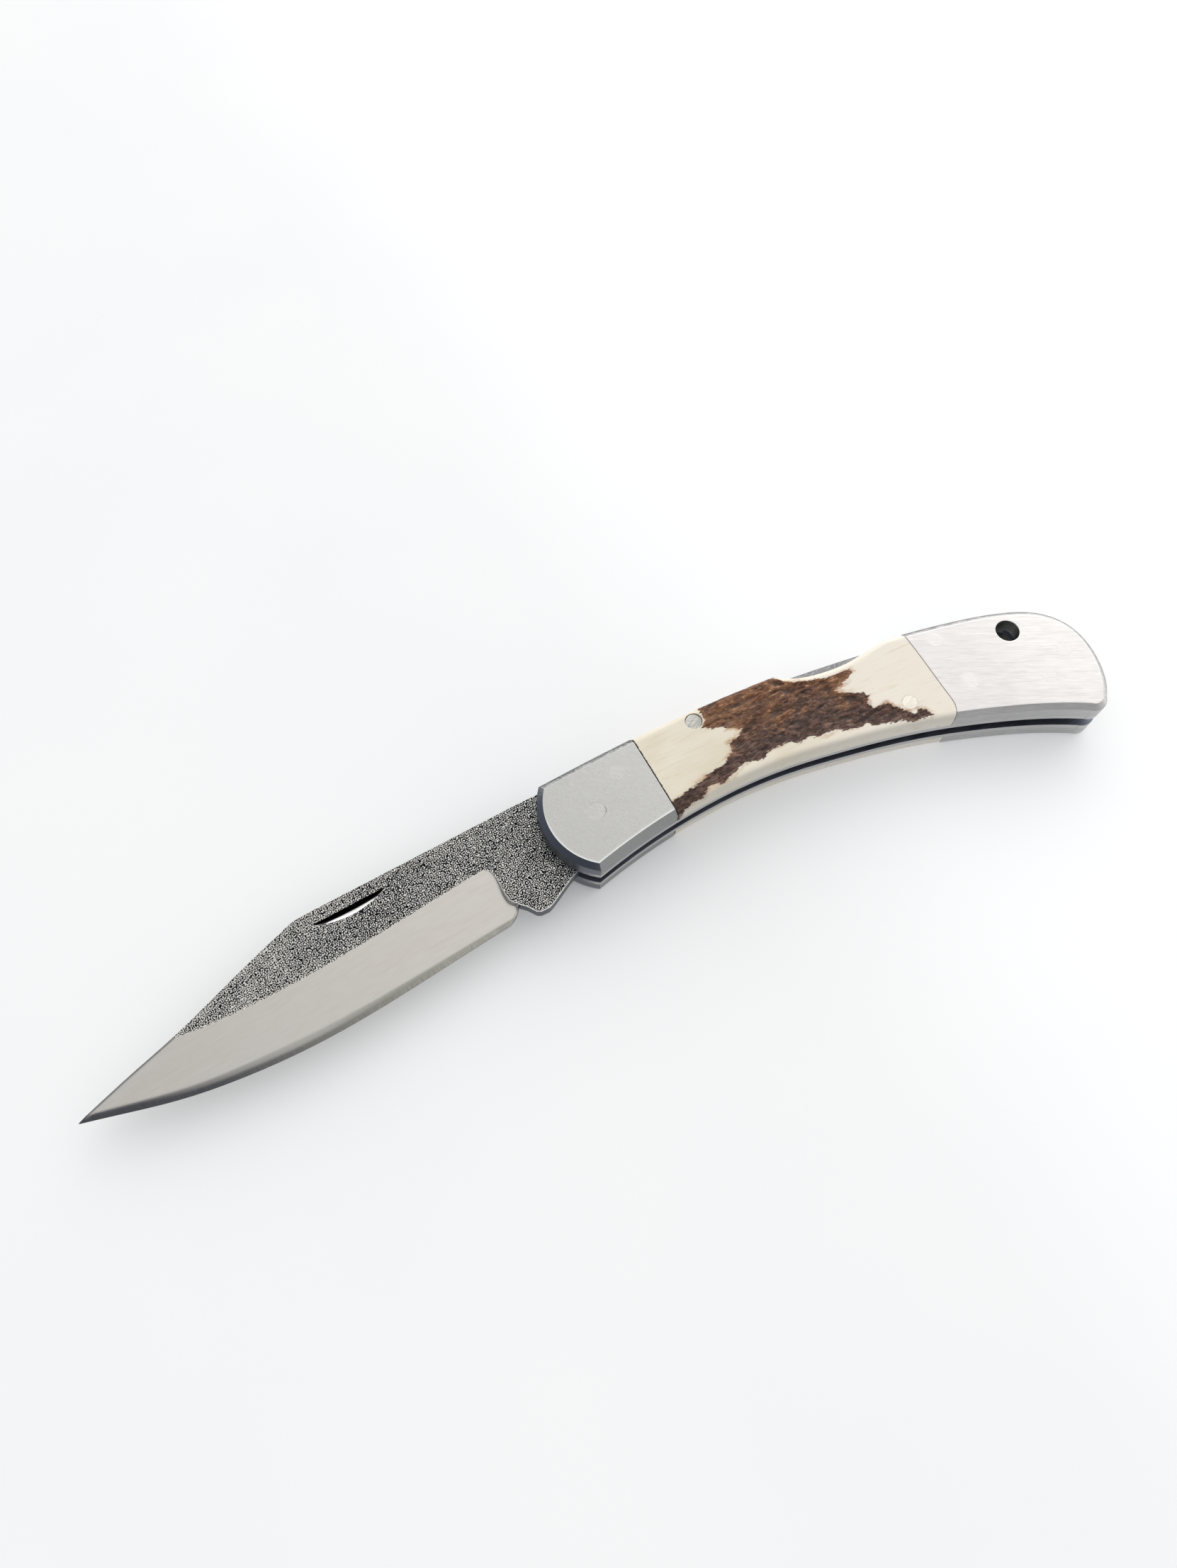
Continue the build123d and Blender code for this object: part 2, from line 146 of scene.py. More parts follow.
class Graph(Tree):
    """The node tree of one material."""

    def __init__(self, name):
        self.material = bpy.data.materials.new(name)
        self.material.use_nodes = True
        super().__init__(self.material.node_tree)
        self.shader = self.tree.nodes["Principled BSDF"]
        self.place = self.vector("SCALE", self.coordinates["Object"], scale=1 / MM)
        self.facing = self.add("ShaderNodeNewGeometry").outputs["True Normal"]

    def set(self, **values):
        for key, value in values.items():
            self.put(self.shader.inputs[key.replace("_", " ")], value)

    def mapped(self, size, turn=0.0, shift=(0, 0, 0)):
        """Coordinates in which a pattern is size mm long along each turned axis."""
        node = self.add("ShaderNodeMapping", vector_type="TEXTURE")
        self.put(node.inputs["Vector"], self.place)
        self.put(node.inputs["Location"], shift)
        self.put(node.inputs["Rotation"], (0, 0, math.radians(turn)))
        self.put(node.inputs["Scale"], size)
        return node.outputs["Vector"]

    def noise(self, vector, detail=3.0, rough=0.55, distortion=0.0, output="Fac"):
        node = self.add("ShaderNodeTexNoise")
        self.put(node.inputs["Vector"], vector)
        self.put(node.inputs["Scale"], 1.0)
        self.put(node.inputs["Detail"], detail)
        self.put(node.inputs["Roughness"], rough)
        self.put(node.inputs["Distortion"], distortion)
        return node.outputs[output]

    def cells(self, vector):
        node = self.add("ShaderNodeTexVoronoi", feature="F1")
        self.put(node.inputs["Vector"], vector)
        self.put(node.inputs["Scale"], 1.0)
        return node.outputs["Distance"]

    def attribute(self, name):
        return self.add("ShaderNodeAttribute", attribute_name=name).outputs["Fac"]

    def mix(self, factor, a, b):
        """Mixes two colours."""
        node = self.add("ShaderNodeMix", data_type="RGBA")
        self.put(node.inputs[0], factor)
        for socket, value in ((node.inputs[6], a), (node.inputs[7], b)):
            if isinstance(value, tuple):
                value = (*value, 1.0)
            self.put(socket, value)
        return node.outputs[2]

    def blend(self, factor, a, b):
        """Mixes two numbers."""
        node = self.add("ShaderNodeMix", data_type="FLOAT")
        self.fill((node.inputs[0], node.inputs[2], node.inputs[3]), (factor, a, b))
        return node.outputs[0]

    def blend_directions(self, factor, a, b):
        node = self.add("ShaderNodeMix", data_type="VECTOR")
        self.fill((node.inputs[0], node.inputs[4], node.inputs[5]), (factor, a, b))
        return node.outputs[1]

    def from_middle(self, node_name):
        """Distance across the profile from the middle of a CAD node's box."""
        x, y, _ = middle(node_name)
        flat = self.vector("MULTIPLY", self.place, (1, 1, 0))
        return self.vector("DISTANCE", flat, (x, y, 0))

    def bump(self, height, depth, normal=None):
        """A bump of that depth for a height from 0 to 1."""
        node = self.add("ShaderNodeBump")
        self.put(node.inputs["Strength"], 1.0)
        self.put(node.inputs["Distance"], depth * MM)
        self.put(node.inputs["Height"], height)
        self.put(node.inputs["Normal"], normal)
        return node.outputs["Normal"]

    def rounded(self, radius):
        """The normal as if edges were rounded to that radius."""
        node = self.add("ShaderNodeBevel", samples=6)
        self.put(node.inputs["Radius"], radius * MM)
        return node.outputs["Normal"]

    def edge_share(self, rounded, full=0.80):
        """How much of an edge a point is: 1 where the turn to the rounded normal has the cosine full."""
        same = self.vector("DOT_PRODUCT", rounded, self.facing)
        return self.step(same, 0.997, full)


def shade(colour, factor):
    return tuple(min(1.0, c * factor) for c in colour)


# ------------------------------------------------------------------ brushed steel
FRONT_STEEL = (0.555, 0.553, 0.535)
# the rear bolster's steel is the same as the front's, painted paler as painted light
REAR_STEEL_LIT = (0.660, 0.640, 0.628)
LINER_STEEL = (0.52, 0.515, 0.51)
SPRING_STEEL = (0.30, 0.302, 0.308)
ROCKER_STEEL = (0.52, 0.51, 0.48)
PALE_STEEL = (0.745, 0.705, 0.625)
# Painted shade for the sides, bevels and walls that face one way, which the rims lay on in place of the
# light those faces get; on the bevels towards the nose it is a painted dark reflection.
NOSE_BEVEL_SHADE = (0.078, 0.087, 0.110)
LINER_NOSE_SHADE = shade(NOSE_BEVEL_SHADE, 2.1)
NOSE_WALL_SHADE = (0.180, 0.195, 0.215)
SPINE_CHAMFER_SHADE = (0.130, 0.134, 0.140)
SPINE_WALL_SHADE = (0.400, 0.400, 0.395)
SHADED = (0.220, 0.238, 0.290)
UNDERSIDE_SHADE = (0.310, 0.312, 0.310)
SLOT_SHADE = (0.115, 0.125, 0.155)
BUTT_CHAMFER_SHADE = (0.22, 0.22, 0.215)
BUTT_END_SHADE = (0.28, 0.295, 0.275)
BUTT_BELLY_SHADE = (0.47, 0.465, 0.46)
GLINT_WHITE = (0.93, 0.93, 0.91)
# the dark hairline round a pin head
HAIRLINE_DARK = (0.05, 0.045, 0.04)

SCRATCH_DEPTH = 0.004
# A rim that fades has its full colour up to the first distance from the middle plane and
# little of it at the second. The outer faces are MID_Z away from that plane.
FADE_START = MID_Z - 0.85
FADE_END = MID_Z + 0.05
# how far from a pin's middle a worn edge may begin, and how far a glint may
HEAD_CLEAR = (2.15, 2.25)
GLINT_CLEAR = (3.8, 4.0)
# which way the edges with a glint face: towards the nose and the belly
GLINT_SIDE = (-0.55, -0.83, 0)


class Rim(NamedTuple):
    """A painted shade for the sides and bevels of a piece that face one way.

    begins and full are cosines between that way and a face's normal.
    """

    facing: tuple
    tone: tuple
    begins: float
    full: float
    fades: bool = False


def scratches(g, turn, length, width, deep_share, grain, seed):
    """Parallel scratches, from 0 at their bottom to 1."""
    fine = g.noise(g.mapped((length, width, width), turn, (seed, 0, 0)), 2.0, 0.6)
    wide = width * 3.5
    deep = g.noise(g.mapped((length * 3.2, wide, wide), turn, (seed, 3, 1)), 3.0, 0.6)
    lines = g.blend(deep_share, fine, deep)
    if grain:
        short = g.noise(g.mapped((0.42, 0.15, 0.15), turn + 18, (seed, 4, 4)), 2.0, 0.6)
        lines = g.blend(grain, lines, short)
    return lines


def glint_mask(g, radius, pins):
    """A line along the edges of the flat faces on the glint side, away from pins."""
    rounded = g.rounded(radius)
    line = g.edge_share(rounded, 0.975)
    lit_side = g.step(g.vector("DOT_PRODUCT", rounded, GLINT_SIDE), 0.05, 0.15)
    for pin in pins:
        lit_side = g.product(lit_side, g.step(g.from_middle(pin), *GLINT_CLEAR))
    on_top = g.step(g.math("ABSOLUTE", g.split(g.facing)[2]), 0.90, 0.97)
    return g.product(line, lit_side, on_top)


def brushed(
    name,
    colour,
    turn=0.0,
    length=5.0,
    width=0.13,
    rough=(0.32, 0.46),
    contrast=0.10,
    edge=0.10,
    glint=0.0,
    deep_share=0.35,
    grain=0.0,
    seed=0.0,
    rims=(),
    hidden=(),
    paler=(),
):
    """Steel finished with fine parallel scratches.

    turn is their direction from +X in degrees, deep_share the share of coarse ones and grain
    that of a short grain. edge is the radius of the rounded edges, which are paler on the top
    faces, partly as wear and partly as a painted highlight, and glint that of a painted
    highlight line. rims lay painted shade on the sides that face one way. hidden names the pins
    whose heads barely show. paler is where along X the steel begins to be paler, where it is
    wholly so, and the factor.
    """
    g = Graph(name)
    x, _, z = g.split(g.place)
    lines = scratches(g, turn, length, width, deep_share, grain, seed)
    patch = g.noise(g.mapped((8, 5, 5), turn, (seed, 9, 2)), 3.0, 0.5)
    light = g.step(lines, 0.33, 0.67, smooth=False)
    base = g.mix(light, shade(colour, 1 - contrast), shade(colour, 1 + contrast * 0.7))
    base = g.mix(g.step(patch, 0.35, 0.70, 0.0, 0.30), base, shade(colour, 0.92))
    if paler:
        start, end, factor = paler
        low = shade(colour, factor * (1 - contrast))
        high = shade(colour, factor * (1 + contrast))
        base = g.mix(g.step(x, start, end), base, g.mix(light, low, high))

    ragged = g.noise(g.mapped((1.6, 0.35, 0.35), turn, (seed, 1, 5)), 3.0, 0.6)
    from_plane = g.math("ABSOLUTE", g.math("SUBTRACT", z, MID_Z))
    from_plane = g.total(from_plane, g.spread(ragged, -0.35, 0.35))
    # each rim lays its painted shade on the sides that face its way
    for rim in rims:
        toward = g.vector("DOT_PRODUCT", g.facing, tuple(Vector(rim.facing).normalized()))
        amount = g.step(toward, rim.begins, rim.full)
        if rim.fades:
            amount = g.product(amount, g.step(from_plane, FADE_END, FADE_START, 0.15, 1.0))
        side_shade = g.mix(light, shade(rim.tone, 0.84), shade(rim.tone, 1.12))
        base = g.mix(amount, base, side_shade)

    normal = g.rounded(edge)
    worn_edge_and_highlight = g.edge_share(normal)
    for pin in hidden:
        distance = g.from_middle(pin)
        away = g.step(distance, *HEAD_CLEAR)
        worn_edge_and_highlight = g.product(worn_edge_and_highlight, away)
        normal = g.blend_directions(away, g.facing, normal)
        smudge = g.total(distance, g.spread(patch, -0.5, 0.5))
        base = g.mix(g.step(smudge, 2.1, 1.0, 0.0, 0.7), base, shade(colour, 1.10))
    # the rounded edges turn paler on the top faces, partly as wear and partly as a painted highlight
    upward = g.step(g.math("ABSOLUTE", g.split(g.facing)[2]), 0.90, 0.97, 0.15, 0.75)
    base = g.mix(g.product(worn_edge_and_highlight, upward), base, shade(colour, 1.35))
    if glint:
        base = g.mix(glint_mask(g, glint, (*hidden, "pivot_pin")), base, GLINT_WHITE)
    g.set(
        Base_Color=base,
        Metallic=1.0,
        Roughness=g.total(
            g.step(lines, 0.25, 0.75, *rough, smooth=False),
            g.spread(patch, -0.03, 0.05),
        ),
        Normal=g.bump(lines, SCRATCH_DEPTH, normal),
    )
    return g.material


def pin_metal(
    name,
    colour,
    turn=28.0,
    ring=0.45,
    crescent=0.0,
    relief=SCRATCH_DEPTH,
    contrast=0.10,
    rough=(0.30, 0.46),
):
    """A flush pin head with crossing fine scratches and a broken dark hairline round it.

    ring is how dark the hairline is. With a crescent near 1 it shows only towards the belly.
    """
    g = Graph(name)
    fine = g.noise(g.mapped((5, 0.12, 0.12), turn, (4, 0, 0)), 2.0, 0.6)
    cross = g.noise(g.mapped((3, 0.16, 0.16), turn - 55, (1, 7, 0)), 2.0, 0.7)
    lines = g.total(g.product(fine, 0.6), g.product(cross, 0.4))
    x, y, _ = g.split(g.vector("SUBTRACT", g.coordinates["Generated"], (0.5, 0.5, 0.5)))
    radius = g.math("SQRT", g.total(g.product(x, x), g.product(y, y)))
    gaps = g.noise(g.mapped((1.6, 1.6, 1.6), 0, (2, 6, 0)), 1.0, 0.5)
    hairline = g.product(g.step(radius, 0.455, 0.492), g.step(gaps, 0.36, 0.60, 0.25, 1.0))
    if crescent:
        belly_side = g.total(g.product(x, 0.62), g.product(y, -0.78))
        hairline = g.product(hairline, g.step(belly_side, 0.05, 0.33, 1 - crescent, 1.0))
    dark, light = shade(colour, 1 - contrast), shade(colour, 1 + contrast * 0.7)
    base = g.mix(g.step(lines, 0.33, 0.67), dark, light)
    base = g.mix(g.product(hairline, ring), base, HAIRLINE_DARK)
    g.set(
        Base_Color=base,
        Metallic=1.0,
        Roughness=g.step(lines, 0.25, 0.75, *rough, smooth=False),
        Normal=g.bump(lines, relief),
    )
    return g.material


# ------------------------------------------------------------------ the blade's steel
FLAT_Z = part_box("blade")[1].z / MM
# the nail nick: its ends, its lower and upper side, and its tones from floor to wall: a pale
# floor, then black painted shade for the upper wall and the shadow that wall casts
NICK_X = (-57.0 - CENTRE_X, -41.2 - CENTRE_X)
NICK_Y = (6.95 - CENTRE_Y, 8.85 - CENTRE_Y)
NICK_SOFT = 0.1
NICK_FLOOR_AND_SHADE = (
    (0.42, (0.93, 0.93, 0.91)),
    (0.50, (0.30, 0.30, 0.30)),
    (0.55, (0.010, 0.010, 0.012)),
)

# the etched labyrinth: how many waves make it, their length, its lift at tip and heel
WAVES = 9
WORM_PITCH = 0.41
ETCH_TIP = 0.03
ETCH_HEEL = -0.04
ETCH_DEPTH = 0.045
ETCH_TONES = (
    (0.36, (0.006, 0.007, 0.009)),
    (0.47, (0.040, 0.042, 0.047)),
    (0.54, (0.26, 0.26, 0.25)),
    (0.64, (0.60, 0.595, 0.565)),
    (0.80, (0.80, 0.79, 0.75)),
)

# How level a face is, as the cosine of its tilt, where each finish begins and is full. The
# ground bevel is told apart on normals blurred over BEVEL_SPREAD.
FLAT_LEVEL = (0.9978, 0.9986)
BEVEL_LEVEL = (0.960, 0.9945)
FACET_LEVEL = (0.86, 0.78)
WALL_LEVEL = (0.55, 0.35)
BEVEL_SPREAD = 0.9

# where along the blade, or up from the edge, a change begins and is full: of the etch's lift,
# of the edge bevel's painted reflection, of the break line, and of the ricasso's painted highlight
ETCH_LIFT_X = (-72.0, -44.0)
HONED_X = (-84.0, -34.0)
BREAK_LINE_X = (-26.0, -29.0)
RICASSO_X = (-31.0, -27.5)
RICASSO_Y = (15.5, 14.2)

SATIN_DARK = (0.655, 0.628, 0.582)
SATIN_PALE = (0.700, 0.674, 0.630)
SATIN_FOG = (0.70, 0.682, 0.655)
BREAK_LINE = (0.84, 0.81, 0.74)
# the painted highlight on the ricasso's edges, and its width
RICASSO_HIGHLIGHT = (0.95, 0.95, 0.93)
RICASSO_HIGHLIGHT_WIDTH = 0.50
# cross-ground steel, dark and pale lines of each. The edge bevel's tones are a painted
# reflection, darker towards the tip; the plunge facet's and the walls' tones are painted shade.
HONED_TIP_REFLECTION = ((0.088, 0.090, 0.098), (0.130, 0.133, 0.141))
HONED_HEEL_REFLECTION = ((0.34, 0.336, 0.290), (0.57, 0.562, 0.500))
PLUNGE_FACET_SHADE = ((0.20, 0.20, 0.19), (0.40, 0.395, 0.37))
BLADE_WALL_SHADE = ((0.062, 0.070, 0.090), (0.120, 0.130, 0.150))


def labyrinth(g):
    """The etched flat, from 0 in the dark worms to 1 on the bright islands."""
    warp = g.noise(g.mapped((0.9, 0.9, 0.9), 0, (3, 1, 0)), 2.0, 0.5, output="Color")
    bend = g.vector("SCALE", g.vector("SUBTRACT", warp, (0.5, 0.5, 0.5)), scale=1.1)
    bent = g.vector("ADD", g.place, bend)
    waves = []
    for i in range(WAVES):
        angle = math.pi * (i + 0.37 * math.sin(5.1 * i)) / WAVES
        pitch = 2 * math.pi / (WORM_PITCH * (1 + 0.08 * math.sin(3.3 * i + 1)))
        heading = (math.cos(angle) * pitch, math.sin(angle) * pitch, 0)
        phase = g.total(g.vector("DOT_PRODUCT", bent, heading), 2.4 * i * i)
        waves.append(g.math("SINE", phase))
    grit = g.noise(g.mapped((0.13, 0.13, 0.13), 0, (7, 2, 0)), 1.0, 0.5, 0.4)
    clouds = g.noise(g.mapped((4, 4, 4), 0, (1, 8, 0)), 2.0, 0.5)
    x = g.split(g.place)[0]
    return g.total(
        g.math("MULTIPLY_ADD", g.total(*waves), 0.5 / WAVES ** 0.5 / 1.6, 0.5),
        g.step(grit, 0.25, 0.75, -0.06, 0.06, smooth=False),
        g.spread(clouds, -0.03, 0.03),
        g.step(x, *ETCH_LIFT_X, ETCH_TIP, ETCH_HEEL),
    )


def nick_mask(g):
    """1 inside the nail nick, which is sunk into the near flat."""
    x, y, z = g.split(g.place)
    return g.product(
        g.step(x, NICK_X[0] - NICK_SOFT, NICK_X[0] + NICK_SOFT),
        g.step(x, NICK_X[1] + NICK_SOFT, NICK_X[1] - NICK_SOFT),
        g.step(z, FLAT_Z - 0.015, FLAT_Z - 0.035),
        g.step(z, MID_Z, MID_Z + NICK_SOFT),
        g.step(y, NICK_Y[0] - NICK_SOFT, NICK_Y[0] + NICK_SOFT),
        g.step(y, NICK_Y[1] + 2 * NICK_SOFT, NICK_Y[1] + NICK_SOFT),
    )


def blade_metal():
    """Etched flats, a satin ground bevel, and a cross-ground edge bevel and walls.

    The steeper faces take painted shade and a painted reflection, the ricasso's edges a painted
    highlight.
    """
    g = Graph("blade_steel_etched_and_satin")
    x, y, _ = g.split(g.place)
    flatness = g.math("ABSOLUTE", g.split(g.facing)[2])
    bluntness = g.math("ABSOLUTE", g.split(g.rounded(BEVEL_SPREAD))[2])
    on_flat = g.step(flatness, *FLAT_LEVEL)
    on_bevel = g.step(bluntness, *BEVEL_LEVEL)
    on_facet = g.step(flatness, *FACET_LEVEL)
    on_wall = g.step(flatness, *WALL_LEVEL)
    in_nick = nick_mask(g)

    # the flats, with a thin bright line where they break to the bevel
    mottle = labyrinth(g)
    break_line = g.product(
        g.step(bluntness, 0.99996, 0.99965),
        g.step(bluntness, 0.988, 0.995),
        g.step(x, *BREAK_LINE_X),
        g.step(mottle, 0.30, 0.55, 0.15, 0.75),
    )
    etched = g.mix(break_line, g.ramp(mottle, ETCH_TONES), BREAK_LINE)

    # the ground bevel: fine lines along the blade and soft clouds of warmth
    along = g.noise(g.mapped((4.0, 0.17, 0.4), 1.5, (5, 0, 0)), 3.0, 0.65)
    fog = g.noise(g.mapped((14, 4, 4), 2, (2, 5, 0)), 2.0, 0.5)
    satin = g.mix(g.spread(along), SATIN_DARK, SATIN_PALE)
    satin = g.mix(g.step(fog, 0.35, 0.7, 0.0, 0.35), satin, SATIN_FOG)

    # the edge bevel, cross-ground, in a painted reflection that darkens towards the tip, and the
    # other cross-ground faces in painted shade
    across = g.noise(g.mapped((0.09, 3.0, 3.0), 4, (0, 3, 0)), 2.5, 0.65)
    cross_ground = g.spread(across)
    towards_heel = g.step(x, *HONED_X, smooth=False)
    honed_with_reflection = g.mix(
        cross_ground,
        g.mix(towards_heel, HONED_TIP_REFLECTION[0], HONED_HEEL_REFLECTION[0]),
        g.mix(towards_heel, HONED_TIP_REFLECTION[1], HONED_HEEL_REFLECTION[1]),
    )
    base = g.mix(on_bevel, honed_with_reflection, satin)
    base = g.mix(on_flat, base, etched)
    # painted shade on the steep plunge facet and on the walls
    base = g.mix(on_facet, base, g.mix(cross_ground, *PLUNGE_FACET_SHADE))
    base = g.mix(on_wall, base, g.mix(cross_ground, *BLADE_WALL_SHADE))
    nick_depth = g.step(y, *NICK_Y, smooth=False)
    base = g.mix(in_nick, base, g.ramp(nick_depth, NICK_FLOOR_AND_SHADE))

    # the ricasso's edges get a painted highlight
    plain = g.product(on_flat, g.math("SUBTRACT", 1.0, in_nick))
    rim = g.edge_share(g.rounded(RICASSO_HIGHLIGHT_WIDTH), 0.91)
    ricasso = g.product(g.step(x, *RICASSO_X), g.step(y, *RICASSO_Y))
    ricasso_highlight = g.product(rim, plain, ricasso)
    base = g.mix(ricasso_highlight, base, RICASSO_HIGHLIGHT)
    relief_share = g.product(plain, g.math("SUBTRACT", 1.0, ricasso_highlight))

    ground_rough = g.spread(across, 0.30, 0.46)
    rough = g.blend(on_bevel, ground_rough, g.spread(along, 0.34, 0.46))
    rough = g.blend(relief_share, rough, g.step(mottle, 0.38, 0.66, 0.70, 0.36))
    fine_lines = g.bump(g.blend(on_bevel, across, along), 0.003)
    height = g.product(g.spread(mottle), relief_share)
    g.set(
        Base_Color=base,
        Metallic=1.0,
        Roughness=rough,
        Normal=g.bump(height, ETCH_DEPTH, fine_lines),
    )
    return g.material


# ------------------------------------------------------------------ the stag scales
# Outlines of the dark bark left on the polished stag, on the profile axes.
BARK_FRONT = (
    (12.0, -4.6), (16.0, -4.7), (18.0, -4.2), (20.0, -3.8), (22.0, -3.6), (24.0, -3.3),
    (26.0, -3.1), (27.5, -2.5), (29.5, -1.5), (29.8, 0.3), (31.5, 0.7), (33.0, 0.9),
    (34.0, 1.8), (33.0, 2.5), (31.0, 3.6), (29.5, 4.3), (28.0, 5.0), (27.0, 5.9),
    (27.8, 6.3), (28.5, 7.0), (28.6, 9.0), (28.8, 11.8), (35.0, 11.2), (40.0, 10.8),
    (44.2, 10.4), (46.6, 7.3), (48.0, 6.1), (49.5, 5.2), (51.0, 4.4), (53.0, 3.6),
    (55.0, 3.1), (57.5, 2.6), (60.5, 2.2), (60.5, 1.2), (57.5, 0.1), (55.0, -0.5),
    (55.5, -1.2), (57.8, -2.6), (59.4, -3.4), (60.3, -4.8), (59.1, -6.0), (59.4, -7.5),
    (62.6, -8.0), (63.2, -9.1), (64.8, -11.2), (65.7, -12.6), (67.1, -12.2), (68.4, -13.2),
    (69.1, -14.8), (65.1, -14.25), (63.0, -13.0), (60.1, -11.75), (57.3, -11.0),
    (55.9, -9.8), (54.1, -9.6), (51.2, -8.9), (49.8, -7.8), (46.2, -7.5), (44.4, -6.6),
    (41.6, -6.4), (40.1, -5.5), (38.0, -5.1), (35.2, -5.3), (34.0, -6.1), (32.5, -5.8),
    (31.0, -5.1), (29.5, -5.1), (27.0, -5.8), (24.5, -6.5), (22.0, -5.6), (19.7, -6.6),
    (19.3, -7.2), (18.0, -6.8), (16.5, -7.0), (15.0, -7.5), (12.0, -8.0),
)
# The far side isn't seen: its bark is a patch of the same character, drawn freely.
BARK_BACK = (
    (11.0, 3.0), (16.0, 2.0), (20.0, 0.5), (23.0, 1.4), (26.5, 0.2), (30.0, 1.8),
    (31.0, 4.6), (34.0, 6.8), (39.0, 7.6), (43.0, 6.4), (46.0, 4.4), (50.5, 2.6),
    (55.0, 2.4), (57.0, 0.8), (55.5, -1.0), (58.0, -2.2), (62.5, -2.4), (66.0, -4.2),
    (67.5, -6.6), (64.0, -7.8), (62.0, -9.8), (57.0, -9.4), (53.5, -7.2), (49.0, -7.4),
    (45.5, -5.2), (41.0, -5.6), (38.0, -3.2), (34.5, -3.8), (31.0, -2.4), (27.0, -3.6),
    (22.0, -2.0), (18.0, -2.6), (11.0, -1.4),
)
# The fine mesh of a scale. Faces join below FLAT_ANGLE and edges are sharp above SHARP_ANGLE,
# both in degrees. CUT_SNAP is how near a vertex is to a cut, in metres, to be moved onto it.
GRID = 0.22
SLABS = 20
OFF_INNER = 0.05
WELD = 0.002
SLAB_WELD = 0.003
FLAT_ANGLE = 0.4
SHARP_ANGLE = 38
CUT_SNAP = 1e-7

# The bark sinks over the width of its shore, and its attribute tells the distance from there
# up to BARK_REACH. The polished surface waves too, by less.
BARK_SHORE = 0.9
BARK_SINK = 0.10
BARK_RIDGES = 0.30
BARK_PITS = 0.16
STAG_WAVE = 0.035
BARK_REACH = 4.0

# the joint with the front bolster, on the profile axes
SEAM_Y = (-12.0, 2.0, 14.0)
SEAM_X = (13.0, 13.5, 13.85)

CREAM_DEEP = (0.760, 0.690, 0.540)
CREAM = (0.830, 0.775, 0.655)
CREAM_REAR = (0.880, 0.820, 0.720)
CREAM_BELLY_SHADE = (0.50, 0.475, 0.42)
STREAK = (0.66, 0.54, 0.36)
PORE = (0.50, 0.40, 0.27)
STAIN = (0.50, 0.285, 0.135)
BARK_WARM = (
    (0.34, (0.045, 0.016, 0.007)),
    (0.46, (0.130, 0.048, 0.018)),
    (0.56, (0.240, 0.100, 0.040)),
    (0.68, (0.520, 0.300, 0.155)),
)
BARK_COLD = (
    (0.34, (0.018, 0.009, 0.007)),
    (0.46, (0.060, 0.028, 0.020)),
    (0.56, (0.125, 0.062, 0.043)),
    (0.68, (0.250, 0.150, 0.105)),
)
BARK_GLOW = (0.300, 0.160, 0.085)
BARK_SMOKE = (0.026, 0.012, 0.009)
BARK_GROOVE = (0.020, 0.011, 0.008)
SEAM_GAP_SHADE = (0.016, 0.012, 0.010)
STAG_RELIEF = 0.16


def inside_distance(points, outline):
    """Distance from each point to the outline, positive inside it."""
    px, py = points[:, 0], points[:, 1]
    nearest = np.full(len(points), 1e9)
    inside = np.zeros(len(points), bool)
    for (ax, ay), (bx, by) in zip(outline, outline[1:] + outline[:1]):
        dx, dy = bx - ax, by - ay
        t = ((px - ax) * dx + (py - ay) * dy) / (dx * dx + dy * dy)
        t = np.clip(t, 0, 1)
        nearest = np.minimum(nearest, np.hypot(px - ax - t * dx, py - ay - t * dy))
        if ay != by:
            crosses = (ay > py) != (by > py)
            inside ^= crosses & (px < ax + (py - ay) * dx / dy)
    return np.where(inside, nearest, -nearest)


def seam_distance(points):
    """Distance from each point to the joint with the front bolster."""
    return np.abs(points[:, 0] - np.interp(points[:, 1], SEAM_Y, SEAM_X))


def ridged(x, y, seed):
    """Ridge noise from 0 in the grooves to 1 on the crests."""
    return 1 - abs(noise.noise(Vector((x, y, seed))) * 2)


def bark_relief(x, y, seed):
    """How far the bark lies below the polished surface at a point."""
    bend = 1.2 * noise.noise(Vector((x / 9, y / 6, seed + 5)))
    grooves = ridged(x / 5.5 + bend, y / 1.5 + 1.6 * bend, seed)
    small = ridged(x / 2.2, y / 0.85 + bend, seed + 11)
    pits = noise.noise(Vector((x / 0.95, y / 0.7, seed + 23)))
    depth = BARK_SINK + BARK_RIDGES * (1 - 0.62 * grooves - 0.38 * small)
    return depth + BARK_PITS * max(0.0, pits)


def polish_wave(x, y, seed):
    """How far the polished surface lies below the face of the CAD scale."""
    return STAG_WAVE * (0.5 + 0.5 * noise.noise(Vector((x / 6, y / 3, seed))))


def shore_wobble(x, y, seed):
    """How far the bark's ragged shore strays from its outline."""
    wide = 0.45 * noise.noise(Vector((x / 1.8, y / 0.8, seed + 3)))
    return wide + 0.20 * noise.noise(Vector((x / 0.7, y / 0.35, seed + 4)))


def strips(work, faces, axis, start, end, count):
    """Cuts the faces into count strips between start and end, and gives all the faces back."""
    if count < 2 or not faces:
        return faces
    first = count // 2
    at = Vector((0, 0, 0))
    at[axis] = start + (end - start) * first / count
    normal = Vector((0, 0, 0))
    normal[axis] = 1
    verts = {v for f in faces for v in f.verts}
    edges = {e for f in faces for e in f.edges}
    cut = bmesh.ops.bisect_plane(
        work, geom=[*verts, *edges, *faces], dist=CUT_SNAP, plane_co=at, plane_no=normal
    )
    below, above = [], []
    for f in cut["geom"]:
        if isinstance(f, bmesh.types.BMFace):
            centre = sum(v.co[axis] for v in f.verts) / len(f.verts)
            half = below if centre < at[axis] else above
            half.append(f)
    below = strips(work, below, axis, start, at[axis], first)
    above = strips(work, above, axis, at[axis], end, count - first)
    return below + above


